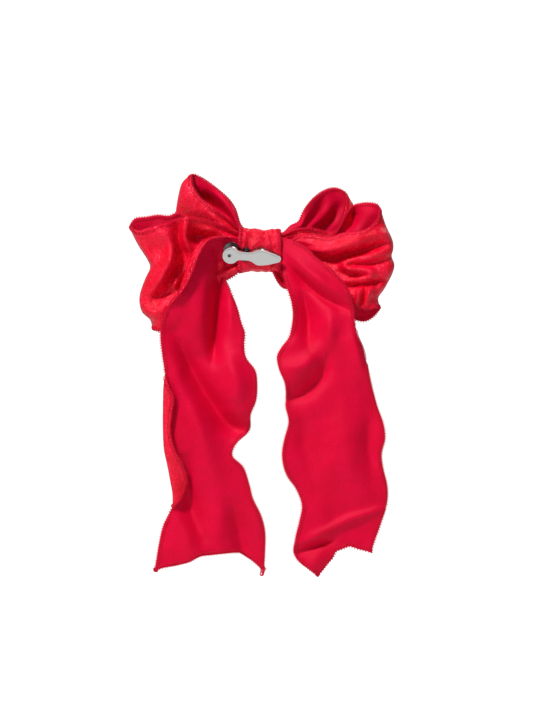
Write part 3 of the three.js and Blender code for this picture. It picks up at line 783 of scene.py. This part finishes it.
# Each loop has a near side, towards the clip, and a far side. It gives the outlines (x, z) of the upper
# and lower edge of each side, from the knot to the fold, and of the fold from its upper end to its lower
# end. Its depths are y in mm: at the knot, at the fold, and the depth that each side bulges towards.
# "far_pleat" is how deep the far side's pleats are near the knot; the near side's are shallow.
LOWER_DEPTHS = {"near": 11.6, "far": 13.75, "fold": 8, "near_out": -17, "far_out": 26}
UPPER_DEPTHS = {"near": 15.9, "far": 18, "fold": 32, "near_out": 21, "far_out": 59}
PLEATS = 4.5  # waves across the ribbon where it is gathered at the knot
PLEAT = 1.6  # depth of a shallow pleat, mm
DEEP_PLEAT = 4.0  # on the front of the upper loops, mm

LOWER_LEFT = {
    "near_top": [(-12, 14), (-18.2, 16.5), (-30.8, 22.2), (-46.2, 27), (-56.7, 27.8), (-67.2, 24.5),
                 (-81.2, 20.3), (-89.6, 18.4), (-95.3, 21)],
    "far_top": [(-12, 15), (-30, 21), (-46, 25.8), (-57, 28), (-62, 31), (-68, 28.8), (-75, 29.4),
                (-84, 28), (-92, 26.6), (-95.3, 21)],
    "near_low": [(-12, -5), (-22, -13), (-34, -20), (-48, -33), (-62, -46), (-73, -52), (-79, -50.5)],
    "far_low": [(-12, -5), (-24, -9), (-36, -18), (-50, -32), (-64, -42), (-79, -50.5)],
    "fold": [(-95.3, 21), (-92, 14), (-88.2, 7), (-83, -1), (-80.5, -7), (-84, -15), (-88.2, -28.7),
             (-86.3, -38.5), (-80.5, -44), (-79, -50.5)],
    "depths": LOWER_DEPTHS,
    "far_pleat": PLEAT,
    "near_folds": [
        ([(-55.5, 26), (-57, 16), (-56, 9), (-52, 4)], -5, 2.7),
        ([(-62, 23), (-61, 12), (-58, 1), (-59.5, -8), (-67, -17)], 8.5, 4.2),
        ([(-77, 20), (-67.5, 13), (-66.5, 1), (-72, -12), (-80, -24)], -6.5, 3.8),
        ([(-83, 11), (-77, 2), (-79, -5)], 3, 5),
        ([(-50, 22), (-49.5, 8)], 4, 3.6),
        ([(-51, 14.5), (-45, 13), (-39, 12)], 13, 3.8),
        ([(-43, 20), (-36, 18.5), (-28, 16)], -3, 2.6),
        ([(-58, -8), (-61, -13), (-65, -22)], -4.5, 2.8),
        ([(-82, -29), (-71, -26), (-62, -22)], 4.5, 3.4),
        ([(-86, -38), (-78, -39), (-70, -34)], -3, 4),
        ([(-50, 2), (-47, -8), (-52, -20)], 5, 4),
    ],
    "far_folds": [([(-80, 24), (-60, 10), (-40, 0)], -4, 9)],
    "seed": 1.9,
}
LOWER_RIGHT = {
    "near_top": [(3, 11), (10.5, 12), (16.8, 12), (23.8, 14.7), (30.8, 15.4), (37.8, 14.7), (43.4, 13.3),
                 (48.3, 14.7), (55.3, 16.8), (62.3, 17.4), (69.3, 18.9), (74.2, 22.2), (78.2, 27.3),
                 (79.8, 33.5)],
    "far_top": [(3, 12), (20, 14.3), (38, 14), (46.5, 15.5), (51, 20), (56.3, 29.5), (61, 35.8),
                (67.2, 37.8), (72.8, 38), (77.5, 37), (79.8, 33.5)],
    "near_low": [(3, -6), (7.5, -16), (12, -21.5), (22, -23), (34, -28), (48, -34), (61.6, -35),
                 (70.7, -36.6), (79.6, -35.8)],
    "far_low": [(3, -6), (9, -17), (14, -20), (30, -26), (46, -36), (60, -43), (69.3, -45),
                (75.5, -41.5), (79.6, -35.8)],
    "fold": [(79.8, 33.5), (83.3, 22.4), (88.3, 11), (88.6, 5), (87.3, 1), (89.5, -5.6), (88, -11.5),
             (85.8, -16), (81.9, -23), (78, -28.7), (79.6, -35.8)],
    "depths": LOWER_DEPTHS,
    "far_pleat": PLEAT,
    "near_folds": [
        ([(32, 4), (45, 5), (56, 8.5), (70, 13)], -5, 4.6),
        ([(34, -1), (48, -1.2), (62, 2.6), (77, 7.6), (88, 10)], 7.5, 3.0),
        ([(86, 4.8), (69.3, -0.6), (59, -2.1), (54.6, -4.9), (57, -8), (66.5, -8.6), (73.9, -10.9),
          (72, -14.7), (58, -17.2)], -4.5, 2.3),
        ([(60, -5), (72, -4.6), (87, -1)], 4, 2.1),
        ([(55, -11.9), (67.5, -12.6)], 3.5, 2.0),
        ([(57, -20.4), (72.8, -18.4), (86, -15.6)], 6.5, 2.4),
        ([(67, -20.5), (63.5, -32)], -4.5, 2.2),
        ([(73.5, -20), (69.5, -34)], -4, 2.0),
        ([(70, -22), (66.3, -33)], 3.5, 1.8),
        ([(76, -21), (80, -29)], 3, 2.5),
        ([(74, 17), (80, 16), (86, 13)], -3, 3),
        ([(70, 26), (78, 24), (84, 20)], 3, 4),
        ([(13, 9), (24, 9.5), (36, 9)], -2.5, 2.2),
        ([(13, 5), (24, 3), (36, 0)], 3, 2.2),
    ],
    "far_folds": [
        ([(76, 34), (64, 20), (50, 6)], -4, 8),
        ([(62, 34), (60, 27), (57, 20)], 12, 4.2),
        ([(57.5, 33), (54, 27), (49, 18)], -3.5, 2.6),
    ],
    "seed": 6.1,
}
UPPER_LEFT = {
    "near_top": [(-12, 14.5), (-18.2, 18.9), (-23.8, 24.3), (-30.8, 30), (-37.8, 35), (-46.2, 42),
                 (-51, 49), (-52.6, 57.2)],
    "far_top": [(-12, 17), (-17.5, 22), (-21.7, 34), (-26.8, 41.3), (-35.7, 48.8), (-42.7, 53.8),
                (-49.5, 57.6), (-52.6, 57.2)],
    "near_low": [(-12, -5), (-24, -8), (-40, -12), (-56, -13), (-67, -11)],
    "far_low": [(-12, -5), (-24, -7), (-40, -9), (-56, -11), (-67, -11)],
    "fold": [(-52.6, 57.2), (-58.3, 51.8), (-60.8, 43.4), (-62.4, 34), (-64, 22), (-66, 6), (-67, -11)],
    "depths": UPPER_DEPTHS,
    "far_pleat": DEEP_PLEAT,
    "near_folds": [
        ([(-28, 24), (-42, 33), (-54, 46)], -3, 5),
        ([(-30, 18), (-46, 25), (-60, 30)], 4, 5),
    ],
    "far_folds": [
        ([(-24, 26), (-34, 36), (-46, 46)], 4.5, 5),
        ([(-20, 21), (-36, 33), (-51, 46)], 10, 6),
        ([(-22, 32), (-32, 43), (-44, 51)], -3, 4),
        ([(-40, 38), (-48, 47), (-55, 51)], -3, 4),
    ],
    "seed": 8.8,
}
UPPER_RIGHT = {
    "near_top": [(3, 12), (10.5, 14.7), (21, 19.4), (30.8, 20.2), (39.2, 18.3), (44.8, 17.6), (49, 19),
                 (52.5, 24.5), (55.5, 35), (56.3, 42)],
    "far_top": [(3, 14), (11.9, 16.8), (17.5, 22), (22.4, 24.5), (25.9, 31.5), (32.2, 39.9), (41.3, 46.8),
                (48.3, 48.3), (53.4, 46.8), (56.3, 42)],
    "near_low": [(3, -5), (20, -9), (38, -14), (54, -18), (66, -20)],
    "far_low": [(3, -5), (20, -8), (38, -12), (54, -17), (66, -20)],
    "fold": [(56.3, 42), (60.3, 37.5), (63, 28), (65.5, 15), (67, 0), (66, -20)],
    "depths": UPPER_DEPTHS,
    "far_pleat": DEEP_PLEAT,
    "near_folds": [([(20, 12), (36, 10), (52, 14)], -3, 4)],
    "far_folds": [
        ([(24, 22), (33, 31), (39, 40)], 2.6, 3.4),
        ([(27, 20), (38, 27), (47, 38)], -2.4, 3.6),
        ([(32, 18), (43, 23), (51, 34)], 3.2, 3),
        ([(21, 24), (27, 34), (35, 43)], -1.5, 3.6),
    ],
    "seed": 14.2,
}


def bezier(a, b, c, d, u):
    return (1 - u) ** 3 * a + 3 * (1 - u) ** 2 * u * b + 3 * (1 - u) * u**2 * c + u**3 * d


def loop_side(loop, side):
    """A grid over one side of a loop, knot to fold: side is "near" or "far"."""
    u = np.linspace(0, 1, LOOP_ROWS)[:, None]
    t = np.linspace(0, 1, LOOP_COLUMNS)[None, :]
    out = bezier(0, 0.42, 1, 1, u)
    top = along_curve(loop[f"{side}_top"], out)
    low = along_curve(loop[f"{side}_low"], out)
    fold = along_curve(loop["fold"], t)
    # A patch that meets the four outlines: both ways across, less what the corners count twice.
    waist_top = np.array(loop[f"{side}_top"][0])
    waist_low = np.array(loop[f"{side}_low"][0])
    tt = t[..., None]
    oo = out[..., None]
    waist = waist_top + (waist_low - waist_top) * tt
    corners = (1 - oo) * ((1 - tt) * waist_top + tt * waist_low) + oo * (
        (1 - tt) * fold[:, :1] + tt * fold[:, -1:]
    )
    xz = (1 - tt) * top + tt * low + (1 - oo) * waist + oo * fold - corners
    depths = loop["depths"]
    y = bezier(depths[side], depths[side], depths[f"{side}_out"], depths["fold"], u)
    reach = np.abs(xz[..., 0] - KNOT_X)
    # Under the band of the knot the cloth lies flat.
    y = depths[side] + (y - depths[side]) * smoothstep(reach, 20, 46)
    free = np.sin(np.pi * np.clip(u, 0, 1)) ** 0.5 * smoothstep(reach, 16, 34)
    y = y + free * fold_depth(loop[f"{side}_folds"], xz, gain=1.25)
    facing = -1 if side == "near" else 1
    gather = (1 - smoothstep(reach, 14, 52)) * smoothstep(reach, 6, 15)
    pleat = loop["far_pleat"] if side == "far" else PLEAT
    wave = pleat * np.sin(2 * np.pi * PLEATS * t + loop["seed"]) + pleat - PLEAT
    y = y + facing * gather * wave
    grid = np.stack([xz[..., 0], y, xz[..., 1]], axis=-1)
    grid[..., 1] += free * crumple(grid, size=22, height=2.6, seed=loop["seed"] + facing)
    grid[..., 1] += free * crumple(grid, size=8, height=0.9, seed=loop["seed"] + 2 * facing)
    return grid


def add_strip(level, left, right):
    """One ring of ribbon: left near side out, left far back, right far out, right near back.
    """
    grid = np.concatenate([
        loop_side(left, "near"),
        loop_side(left, "far")[-2::-1],
        loop_side(right, "far")[1:],
        loop_side(right, "near")[-2:0:-1],
    ])
    grid = as_seen(relax(grid, rounds=3, ring=True))
    cloth = cloth_mesh(f"{level}_loops", grid, ring=True)
    stitching = overlock(f"{level}_loops_stitching", grid_edges(grid, ("first", "last"), ring=True))
    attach(cloth, "bow")
    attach(stitching, "bow")
    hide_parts(f"{level}_bow_strip")
    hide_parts(f"{level}_strip_top_overlock", f"{level}_strip_bottom_overlock")


add_strip("lower", LOWER_LEFT, LOWER_RIGHT)
add_strip("upper", UPPER_LEFT, UPPER_RIGHT)


# ---------------------------------------------------------------- knot
KNOT_ROWS = 150  # round the band
KNOT_COLUMNS = 60
# Each wrinkle runs round the band: (place across it from -1 to 1, height in mm, width).
KNOT_WRINKLES = [
    (-0.75, 0.5, 0.12),
    (-0.42, -0.6, 0.16),
    (-0.1, 0.5, 0.15),
    (0.2, -0.5, 0.14),
    (0.45, 0.5, 0.1),
    (0.62, -0.9, 0.06),
    (0.78, 0.6, 0.07),
]


def rounded(wave):
    """Swells a sine or cosine, so that a circle made of them becomes a rounded square."""
    return np.sign(wave) * np.abs(wave) ** 0.62


def add_knot():
    """The band of velvet wound round the middle, gathered into wrinkles that run round it."""
    low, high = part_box("knot_band")
    middle = (Vector(low) + Vector(high)) / 2 / MM
    half = (Vector(high) - Vector(low)) / 2 / MM
    angle = np.linspace(0, 2 * np.pi, KNOT_ROWS, endpoint=False)[:, None]
    q = np.linspace(-1, 1, KNOT_COLUMNS)[None, :]
    taper = 1 + 0.05 * q**2 - 0.05 * q * (np.sin(angle) > 0)
    wrinkles = np.zeros((KNOT_ROWS, KNOT_COLUMNS))
    for k, (place, height, width) in enumerate(KNOT_WRINKLES):
        line = place + 0.11 * np.sin(angle + 1.7 * k) + 0.05 * np.sin(3 * angle + k)
        fading = 0.7 + 0.3 * np.cos(2 * angle + k)
        wrinkles += height * np.exp(-(((q - line) / width) ** 2)) * fading
    # The band is smaller than its box, which leaves room for wrinkles, thickness and stitching.
    x = middle.x + (half.x - 0.4) * q + 0.5 * np.sin(2 * angle + 1) * q
    y = middle.y + (half.y - 0.7 + wrinkles) * rounded(np.cos(angle)) * taper
    z = middle.z + (half.z - 0.6 + wrinkles) * rounded(np.sin(angle)) * taper
    grid = np.stack([x, y, z], axis=-1)
    creases = crumple(grid, size=4.5, height=0.7, seed=21.0)
    grid += grid_normals(grid, ring=True) * creases[..., None]
    cloth = cloth_mesh("knot_wrap", grid, ring=True)
    stitching = overlock("knot_stitching", grid_edges(grid, ("first", "last"), ring=True))
    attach(cloth, "bow")
    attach(stitching, "bow")
    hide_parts("knot_band")
    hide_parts("knot_left_overlock", "knot_right_overlock")


add_knot()


# ---------------------------------------------------------------- clip
CLIP_DIP = math.radians(7)  # the clip's tip points this far below level


def soften_edges(node, width):
    """Rounds the sharp edges of a CAD node by modifiers, width in mm; its mesh stays as it is."""
    weld = node.modifiers.new("weld", "WELD")
    weld.merge_threshold = 1e-6
    flats = node.modifiers.new("flats", "DECIMATE")
    flats.decimate_type = "DISSOLVE"
    flats.angle_limit = math.radians(2)
    bevel = node.modifiers.new("bevel", "BEVEL")
    bevel.width = width * MM
    bevel.segments = 2
    bevel.limit_method = "ANGLE"
    bevel.angle_limit = math.radians(30)
    normals = node.modifiers.new("normals", "WEIGHTED_NORMAL")
    normals.weight = 100


def finish_node(name, material, bevel=None):
    """Gives a CAD node its material, and softer edges where bevel, in mm, is given."""
    node = frame["nodes"][name]
    node.data.materials.clear()
    node.data.materials.append(material)
    if bevel:
        soften_edges(node, bevel)


finish_node("clip_top_arm", STEEL, 0.14)
# painted shade: the base arm gets the darkened copy of the plated steel
finish_node("clip_base_arm", SHADED_STEEL, 0.14)
# painted shade: the pin is near black so that the head's hole reads dark
finish_node("clip_pin", HOLE_SHADE_STEEL, 0.12)
finish_node("clip_stitch_1", THREAD)
finish_node("clip_stitch_2", THREAD)
finish_node("gathering_thread", THREAD)


def add_spring():
    """The torsion spring round the pin: a leg under each handle, and a coil that twists between them."""
    hinge = next(joint for joint in frame["joints"] if joint["name"] == "jaw_hinge")
    pivot = np.array(hinge["pos_m"]) / MM
    across = -np.array(hinge["axis"])
    across /= np.linalg.norm(across)
    ahead = np.array((math.cos(CLIP_DIP), 0, -math.sin(CLIP_DIP)))  # towards the tip, square to the pin
    outward = np.cross(ahead, across)
    wire = 0.275  # radius, mm
    radius = 1.5  # of the coil's middle line, mm
    half_width = 1.75  # of the coil, mm
    reach = 8.5  # of a leg behind the pin, mm
    slope = 0.26  # of a leg, away from the other
    turns = 5.5
    steps = 16  # a turn

    def leg(side):
        behind = reach * np.array([1, 0.5, 0.25])
        beside = np.full(3, side * half_width)
        return np.stack([-behind, beside, side * (radius + behind * slope)], axis=1)

    count = int(turns * steps) + 1
    angle = -np.pi / 2 + np.linspace(0, 2 * np.pi * turns, count)
    width = np.linspace(-half_width, half_width, count)
    coil = np.stack([radius * np.cos(angle), width, radius * np.sin(angle)], axis=1)
    points = 420
    line = spline(np.concatenate([leg(-1), coil, leg(1)[::-1]]), points)
    path = pivot + line[:, :1] * ahead + line[:, 1:2] * across + line[:, 2:] * outward
    spring = tube_piece("clip_torsion_spring", [(path[None], wire)], SPRING_STEEL)
    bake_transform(spring)
    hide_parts("clip_spring")


add_spring()
